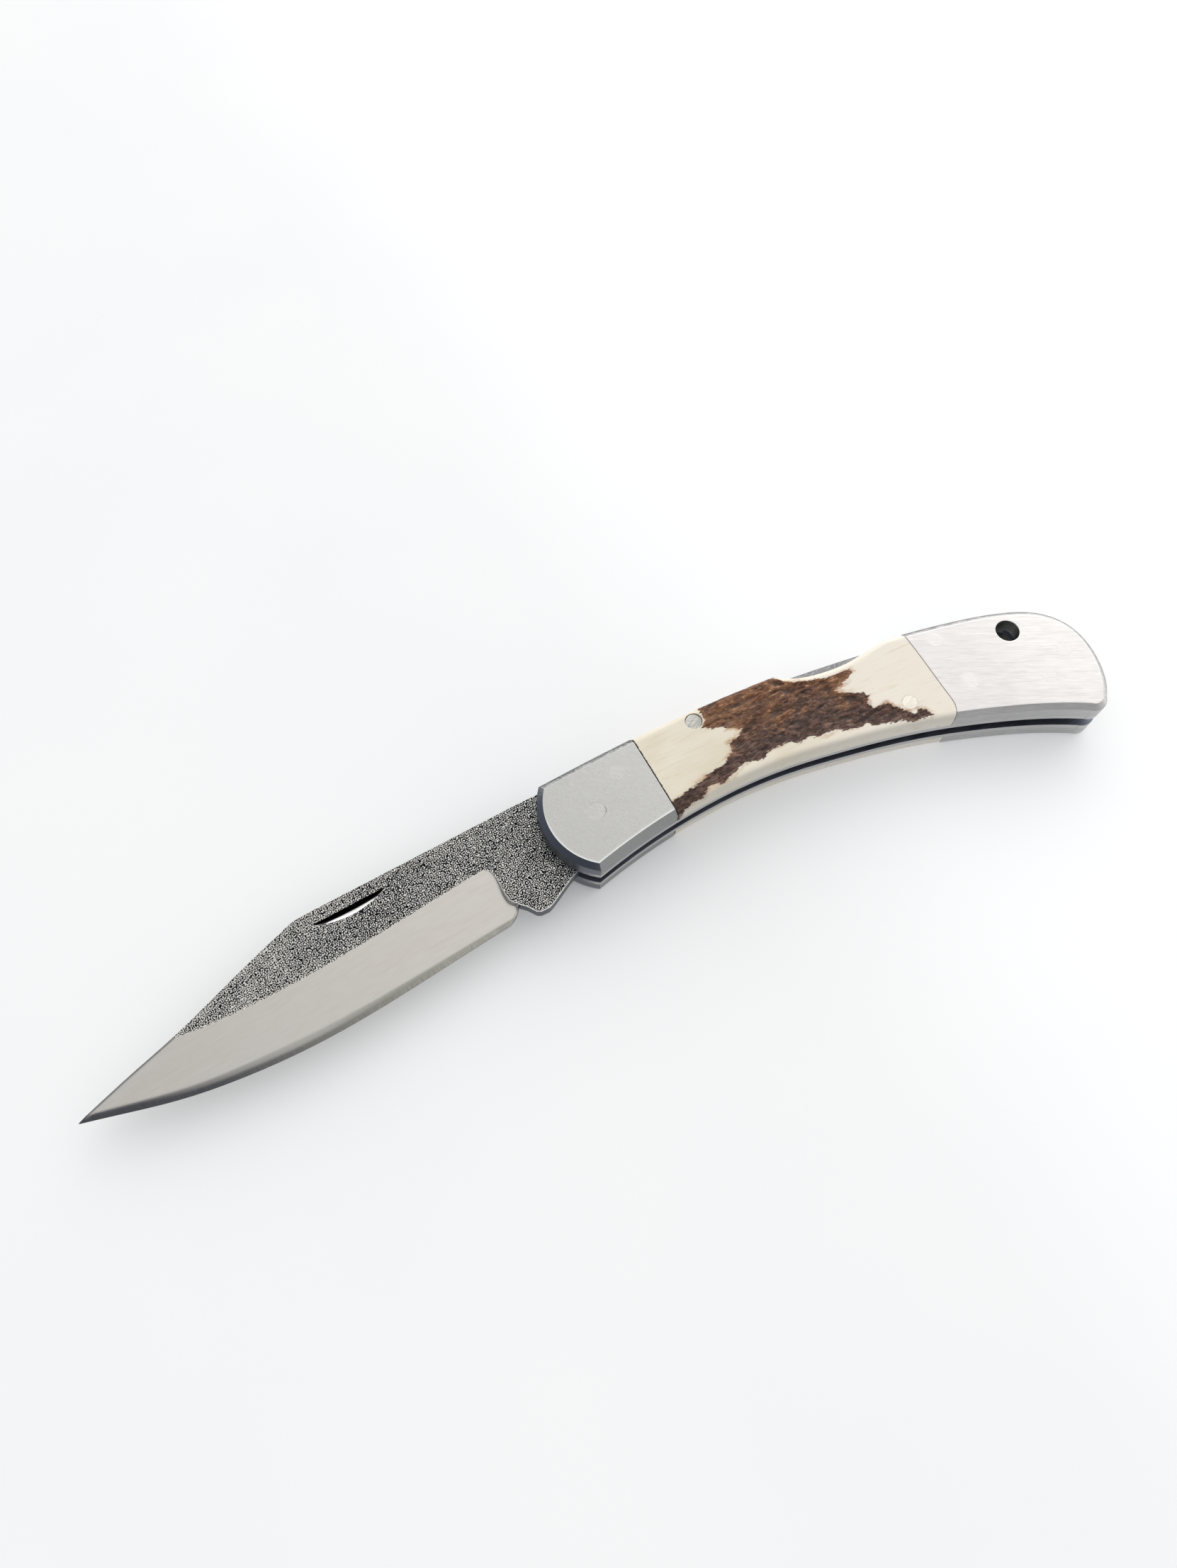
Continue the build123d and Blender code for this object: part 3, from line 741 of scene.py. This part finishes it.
def trim(work, x, side):
    """Cuts the mesh at x and drops what is below or above it."""
    bmesh.ops.bisect_plane(
        work,
        geom=[*work.verts, *work.edges, *work.faces],
        dist=CUT_SNAP,
        plane_co=(x, 0, 0),
        plane_no=(1, 0, 0),
        clear_inner=side == "below",
        clear_outer=side == "above",
    )


def grid_mesh(mesh, low, high, inner):
    """Divides every face that isn't on the inner plane into a fine grid, slab by slab.

    low, high and inner are in metres.
    """
    step = GRID * MM
    whole = bmesh.new()
    along_x = max(1, round((high.x - low.x) / SLABS / step))
    along_y = round((high.y - low.y) / step)
    for i in range(SLABS):
        start = low.x + (high.x - low.x) * i / SLABS
        end = low.x + (high.x - low.x) * (i + 1) / SLABS
        slab = bmesh.new()
        slab.from_mesh(mesh)
        if i > 0:
            trim(slab, start, "below")
        if i < SLABS - 1:
            trim(slab, end, "above")
        faces = [
            f for f in slab.faces if any(abs(v.co.z - inner) > OFF_INNER * MM for v in f.verts)
        ]
        faces = strips(slab, faces, 0, start, end, along_x)
        strips(slab, faces, 1, low.y, high.y, along_y)
        piece = bpy.data.meshes.new("slab")
        slab.to_mesh(piece)
        slab.free()
        whole.from_mesh(piece)
        bpy.data.meshes.remove(piece)
    bmesh.ops.remove_doubles(whole, verts=whole.verts, dist=SLAB_WELD * MM)
    bmesh.ops.triangulate(whole, faces=[f for f in whole.faces if len(f.verts) > 4])
    whole.to_mesh(mesh)
    whole.free()


def join_flats(mesh):
    """Welds the mesh and joins its flat triangles to whole faces."""
    work = bmesh.new()
    work.from_mesh(mesh)
    bmesh.ops.remove_doubles(work, verts=work.verts, dist=WELD * MM)
    bmesh.ops.dissolve_limit(
        work, angle_limit=math.radians(FLAT_ANGLE), verts=work.verts, edges=work.edges
    )
    work.to_mesh(mesh)
    work.free()


def tag(mesh, name, values):
    """Stores a number for each vertex, which the material reads by that name."""
    attribute = mesh.attributes.new(name, "FLOAT", "POINT")
    attribute.data.foreach_set("value", values.astype(np.float32))


def carve(mesh, outline, seed, inner, outer):
    """Sinks the bark into the outer face and tags the vertices.

    inner and outer are the z of the scale's two faces, in metres.
    """
    co = np.zeros(len(mesh.vertices) * 3)
    mesh.vertices.foreach_get("co", co)
    co = co.reshape(-1, 3) / MM
    profile = co[:, :2] + (CENTRE_X, CENTRE_Y)
    wobble = np.array([shore_wobble(x, y, seed) for x, y in profile])
    bark = inside_distance(profile, outline) + wobble
    amount = np.clip(bark / BARK_SHORE, 0, 1)
    amount = amount * amount * (3 - 2 * amount)
    depth = np.array(
        [
            share * bark_relief(x, y, seed) + polish_wave(x, y, seed)
            for (x, y), share in zip(profile, amount)
        ]
    )
    height = np.clip((co[:, 2] - inner / MM) / (outer / MM - inner / MM), 0, 1)
    outward = 1 if outer > inner else -1
    co[:, 2] -= outward * depth * height
    mesh.vertices.foreach_set("co", (co * MM).ravel())
    tag(mesh, "bark", np.clip(bark, -BARK_REACH, BARK_REACH))
    tag(mesh, "sunk", depth * (amount > 0))
    tag(mesh, "seam", seam_distance(profile))


def stag_scale(node, name, outline, seed):
    """A finely divided copy of a CAD scale whose bark is carved into its outer face."""
    mesh = NODES[node].data.copy()
    mesh.name = name
    if "custom_normal" in mesh.attributes:
        mesh.attributes.remove(mesh.attributes["custom_normal"])
    piece = bpy.data.objects.new(name, mesh)
    scene.collection.objects.link(piece)
    low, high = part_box(node)
    is_near = high.z / MM > MID_Z
    inner, outer = (low.z, high.z) if is_near else (high.z, low.z)
    join_flats(mesh)
    grid_mesh(mesh, low, high, inner)
    carve(mesh, outline, seed, inner, outer)
    mesh.polygons.foreach_set("use_smooth", [True] * len(mesh.polygons))
    mesh.set_sharp_from_angle(angle=math.radians(SHARP_ANGLE))
    mesh.update()
    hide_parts(node)
    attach(piece, "handle")
    return piece


def antler_colour(g, streak):
    """Polished antler with long faint streaks and small pores, paler towards the rear."""
    x = g.split(g.place)[0]
    veil = g.noise(g.mapped((12, 5, 5), 0, (6, 1, 0)), 3.0, 0.5)
    cream = g.mix(g.spread(veil), CREAM_DEEP, CREAM)
    cream = g.mix(g.step(x, 36.0, 60.0, 0.0, 0.85), cream, CREAM_REAR)
    cream = g.mix(g.step(streak, 0.54, 0.72, 0.0, 0.42), cream, STREAK)
    pores = g.step(g.cells(g.mapped((0.9, 0.45, 0.45), -4, (1, 1, 0))), 0.13, 0.05)
    porous = g.step(g.noise(g.mapped((3, 1.5, 1.5))), 0.50, 0.62)
    return g.mix(g.product(pores, porous, 0.30), cream, PORE)


def bark_colour(g, weave, patch):
    """Fibrous bark, warm brown above, darker towards the belly, the front and the grooves."""
    x, y, _ = g.split(g.place)
    glow = g.noise(g.mapped((7.0, 2.0, 2.5), 4, (1, 9, 0)), 2.0, 0.5)
    warm = g.mix(g.step(glow, 0.50, 0.66, 0.0, 0.35), g.ramp(weave, BARK_WARM), BARK_GLOW)
    across = g.total(y, g.product(x, 0.17), g.step(patch, 0.2, 0.8, -5.0, 5.0))
    brown = g.mix(g.step(across, 21.0, 12.5), warm, g.ramp(weave, BARK_COLD))
    brown = g.mix(g.step(x, 26.0, 15.0, 0.0, 0.45), brown, BARK_SMOKE)
    return g.mix(g.step(g.attribute("sunk"), 0.18, 0.44, 0.0, 0.75), brown, BARK_GROOVE)


def stag_material():
    """Polished cream antler, with brown bark where the bark attribute is above zero."""
    g = Graph("stag_antler")
    streak = g.noise(g.mapped((8, 0.7, 1.5), -4, (2, 0, 0)), 4.0, 0.6, 0.3)
    fibre = g.noise(g.mapped((1.7, 0.62, 0.8), -6, (8, 0, 0)), 4.0, 0.60, 1.1)
    speck = g.noise(g.mapped((0.26, 0.20, 0.22), 0, (5, 2, 0)), 2.0, 0.6)
    patch = g.noise(g.mapped((6.0, 2.2, 2.2), -2, (3, 3, 0)), 3.0, 0.55)
    rag = g.noise(g.mapped((0.75, 0.36, 0.36), -4, (2, 4, 0)), 2.0, 0.6)
    weave = g.total(g.product(fibre, 0.78), g.product(speck, 0.22))

    # where they meet: a ragged shore with an orange stain on the antler's side
    shore = g.total(g.attribute("bark"), g.step(rag, 0.25, 0.75, -0.32, 0.32, smooth=False))
    on_bark = g.step(shore, -0.08, 0.20)
    stained = g.product(g.step(shore, -1.1, 0.05), g.step(patch, 0.47, 0.66, 0.05, 0.85))
    cream = g.mix(stained, antler_colour(g, streak), STAIN)
    # painted shade on the faces that turn down towards the belly
    to_belly = g.vector("DOT_PRODUCT", g.facing, (0, -1, 0))
    cream = g.mix(g.step(to_belly, 0.25, 0.75, 0.0, 0.55), cream, CREAM_BELLY_SHADE)
    colour = g.mix(on_bark, cream, bark_colour(g, weave, patch))
    # painted shade of the gap along the joint with the front bolster
    seam_gap_mask = g.total(g.attribute("seam"), g.step(rag, 0.3, 0.7, -0.10, 0.06, smooth=False))
    colour = g.mix(g.step(seam_gap_mask, 0.30, 0.14), colour, SEAM_GAP_SHADE)
    height = g.total(g.product(weave, on_bark), g.product(streak, 0.05))
    g.set(
        Base_Color=colour,
        Roughness=g.blend(on_bark, g.spread(streak, 0.26, 0.36), g.spread(fibre, 0.70, 0.46)),
        Normal=g.bump(height, STAG_RELIEF),
        Specular_IOR_Level=0.35,
        IOR=1.5,
    )
    return g.material


# ------------------------------------------------------------------ dress the pieces
def dress(piece, material):
    piece.data.materials.clear()
    piece.data.materials.append(material)


FRONT_TURN = -44
REAR_TURN = -29
PIN_LIFT = 1.055
front_bolster = brushed(
    "bolster_front_brushed",
    FRONT_STEEL,
    turn=FRONT_TURN,
    length=1.3,
    width=0.12,
    contrast=0.17,
    glint=0.85,
    deep_share=0.10,
    grain=0.55,
    rims=(
        Rim((0, 1, 0), SPINE_CHAMFER_SHADE, 0.20, 0.55, fades=True),
        Rim((0, 1, 0), SPINE_WALL_SHADE, 0.80, 0.92),
        Rim((0.1, -1, 0), UNDERSIDE_SHADE, 0.25, 0.60),
        Rim((-1, -0.15, 0), NOSE_BEVEL_SHADE, 0.20, 0.50),
        Rim((-1, -0.75, 0), NOSE_WALL_SHADE, 0.80, 0.92),
    ),
    hidden=("bolster_rivet_front",),
)
rear_bolster = brushed(
    "bolster_rear_brushed",
    REAR_STEEL_LIT,
    turn=REAR_TURN,
    length=3.4,
    contrast=0.17,
    edge=0.25,
    seed=5,
    rims=(
        Rim((0.2, 1, 0), BUTT_CHAMFER_SHADE, 0.20, 0.60, fades=True),
        Rim((0.2, 1, 0), SPINE_WALL_SHADE, 0.80, 0.92),
        Rim((1, 0.1, 0), BUTT_END_SHADE, 0.25, 0.60, fades=True),
        Rim((-0.2, -1, 0), BUTT_BELLY_SHADE, 0.25, 0.60),
    ),
    hidden=("rear_rivet_a_front", "rear_rivet_b_front", "spacer_pin_top", "spacer_pin_rear"),
    paler=(78.0, 104.0, 1.06),
)
liner = brushed(
    "liner_satin",
    LINER_STEEL,
    length=9,
    width=0.16,
    rough=(0.34, 0.5),
    rims=(
        Rim((-1, 0.1, 0), LINER_NOSE_SHADE, 0.50, 0.80),
        Rim((0, 0, 1), SHADED, 0.5, 0.9),
        Rim((0, 0, -1), SHADED, 0.5, 0.9),
    ),
)
spring = brushed(
    "spring_ground",
    SPRING_STEEL,
    turn=25,
    length=0.7,
    width=0.28,
    rough=(0.42, 0.60),
    contrast=0.55,
    rims=(Rim((0, -1, 0), SLOT_SHADE, 0.2, 0.7),),
)
pivot_steel = pin_metal(
    "pin_pivot_flush", shade(FRONT_STEEL, 1.03), turn=FRONT_TURN, ring=0.85, crescent=0.9
)
front_rivet = pin_metal(
    "pin_front_flush", shade(FRONT_STEEL, PIN_LIFT), turn=FRONT_TURN, ring=0.0
)
rear_rivet = pin_metal("pin_rear_flush", shade(REAR_STEEL_LIT, PIN_LIFT), turn=REAR_TURN, ring=0.0)
rocker = pin_metal(
    "pin_rocker_scratched", ROCKER_STEEL, ring=0.9, relief=0.02, contrast=0.55, rough=(0.26, 0.5)
)
pale_pin = pin_metal("pin_pale_flush", PALE_STEEL, contrast=0.18)

DRESS = {
    "blade": blade_metal(),
    "lock_bar": spring,
    "lock_spring": spring,
    "backspacer": spring,
    "liner_front": liner,
    "liner_back": liner,
    "front_bolster_front": front_bolster,
    "front_bolster_back": front_bolster,
    "rear_bolster_front": rear_bolster,
    "rear_bolster_back": rear_bolster,
    "pivot_pin": pivot_steel,
    "bolster_rivet_front": front_rivet,
    "bolster_rivet_back": front_rivet,
    "rocker_pin": rocker,
    "scale_rivet_front": pale_pin,
    "scale_rivet_back": pale_pin,
}
for node_name, node in NODES.items():
    dress(node, DRESS.get(node_name, rear_rivet))

stag = stag_material()
for node_name, piece_name, outline, seed in (
    ("scale_front", "stag_scale_front", BARK_FRONT, 2.0),
    ("scale_back", "stag_scale_back", BARK_BACK, 41.0),
):
    dress(stag_scale(node_name, piece_name, outline, seed), stag)


# ------------------------------------------------------------------ floor, light, camera
# The floor's and the lamp's sizes and places are in metres.
FLOOR_HALF = 3.0
FLOOR_TONES = ((0.798, 0.804, 0.808), (0.821, 0.822, 0.822))
FLOOR_GLOW = (0.97, 0.985, 1.0, 1.0)
LAMP_AT = Vector((0.68, 1.12, 0.70))
LAMP_SIZE = 1.2
LAMP_POWER = 2.5

# the sky's tone goes by the first direction, and its strength by the second and the height
SKY_TONE_WAY = Vector((0.75, 0.42, 0.50)).normalized()
SKY_STRENGTH_WAY = Vector((0.50, 0.82, 0.25)).normalized()
SKY_STRENGTH = 1.6
SKY_TONES = (
    (0.0, (0.20, 0.21, 0.23)),
    (0.50, (0.34, 0.345, 0.355)),
    (0.684, (0.45, 0.45, 0.45)),
    (0.81, (0.52, 0.517, 0.51)),
    (0.885, (0.53, 0.53, 0.527)),
    (0.965, (0.86, 0.855, 0.845)),
    (1.0, (1.0, 0.995, 0.985)),
)

# The camera's angles in degrees: below the horizon, from +Y towards +X, and anticlockwise.
CAMERA_AT = Vector((-46.349, -59.726, 206.0)) * MM
CAMERA_DIP = 65.35
CAMERA_HEADING = 31.9
CAMERA_ROLL = 1.85
CAMERA_SENSOR = 36.0
CAMERA_LENS = 25.4213


def floor():
    """A wide pale floor with a little light of its own, stronger behind the rear bolster."""
    mesh = bpy.data.meshes.new("floor")
    work = bmesh.new()
    bmesh.ops.create_grid(work, x_segments=8, y_segments=8, size=FLOOR_HALF)
    work.to_mesh(mesh)
    work.free()
    piece = bpy.data.objects.new("floor", mesh)
    scene.collection.objects.link(piece)
    g = Graph("floor_white")
    tint = g.noise(g.mapped((90, 90, 90)), 3.0, 0.5)
    g.set(
        Base_Color=g.mix(g.spread(tint), *FLOOR_TONES),
        Roughness=0.55,
        Specular_IOR_Level=0.25,
        Emission_Color=FLOOR_GLOW,
        Emission_Strength=g.step(g.split(g.place)[0], 10.0, 80.0, 0.15, 0.24),
    )
    dress(piece, g.material)


def sky():
    """A soft white surround, brighter behind and to the right, dimmer where the camera stands."""
    world = bpy.data.worlds.new("soft_studio")
    scene.world = world
    world.use_nodes = True
    t = Tree(world.node_tree)
    background = t.tree.nodes["Background"].inputs
    direction = t.coordinates["Generated"]
    toward = t.vector("DOT_PRODUCT", direction, SKY_TONE_WAY)
    tone = t.ramp(t.math("MULTIPLY_ADD", toward, 0.5, 0.5), SKY_TONES)
    low = t.step(t.split(direction)[2], 0.80, 0.30)
    behind = t.vector("DOT_PRODUCT", direction, SKY_STRENGTH_WAY)
    extra = t.step(behind, -0.9, 0.9, 0.45, 1.15)
    t.put(background["Color"], tone)
    t.put(background["Strength"], t.math("MULTIPLY_ADD", low, extra, SKY_STRENGTH))


def lamp():
    """One large soft lamp behind the knife, aimed at its middle."""
    data = bpy.data.lights.new("key", "AREA")
    data.shape = "DISK"
    data.size = LAMP_SIZE
    data.energy = LAMP_POWER
    light = bpy.data.objects.new("key", data)
    light.location = LAMP_AT
    light.rotation_mode = "QUATERNION"
    light.rotation_quaternion = (-LAMP_AT).to_track_quat("-Z", "Y")
    scene.collection.objects.link(light)


def camera():
    """Above the blade, looking down and along the handle."""
    data = bpy.data.cameras.new("camera")
    data.sensor_fit = "AUTO"
    data.sensor_width = CAMERA_SENSOR
    data.lens = CAMERA_LENS
    data.clip_start = 0.01
    data.clip_end = 20.0
    eye = bpy.data.objects.new("camera", data)
    turn = (
        Matrix.Rotation(math.radians(-CAMERA_HEADING), 4, "Z")
        @ Matrix.Rotation(math.radians(90 - CAMERA_DIP), 4, "X")
        @ Matrix.Rotation(math.radians(CAMERA_ROLL), 4, "Z")
    )
    eye.matrix_world = Matrix.Translation(CAMERA_AT) @ turn
    scene.collection.objects.link(eye)
    scene.camera = eye


floor()
sky()
lamp()
camera()
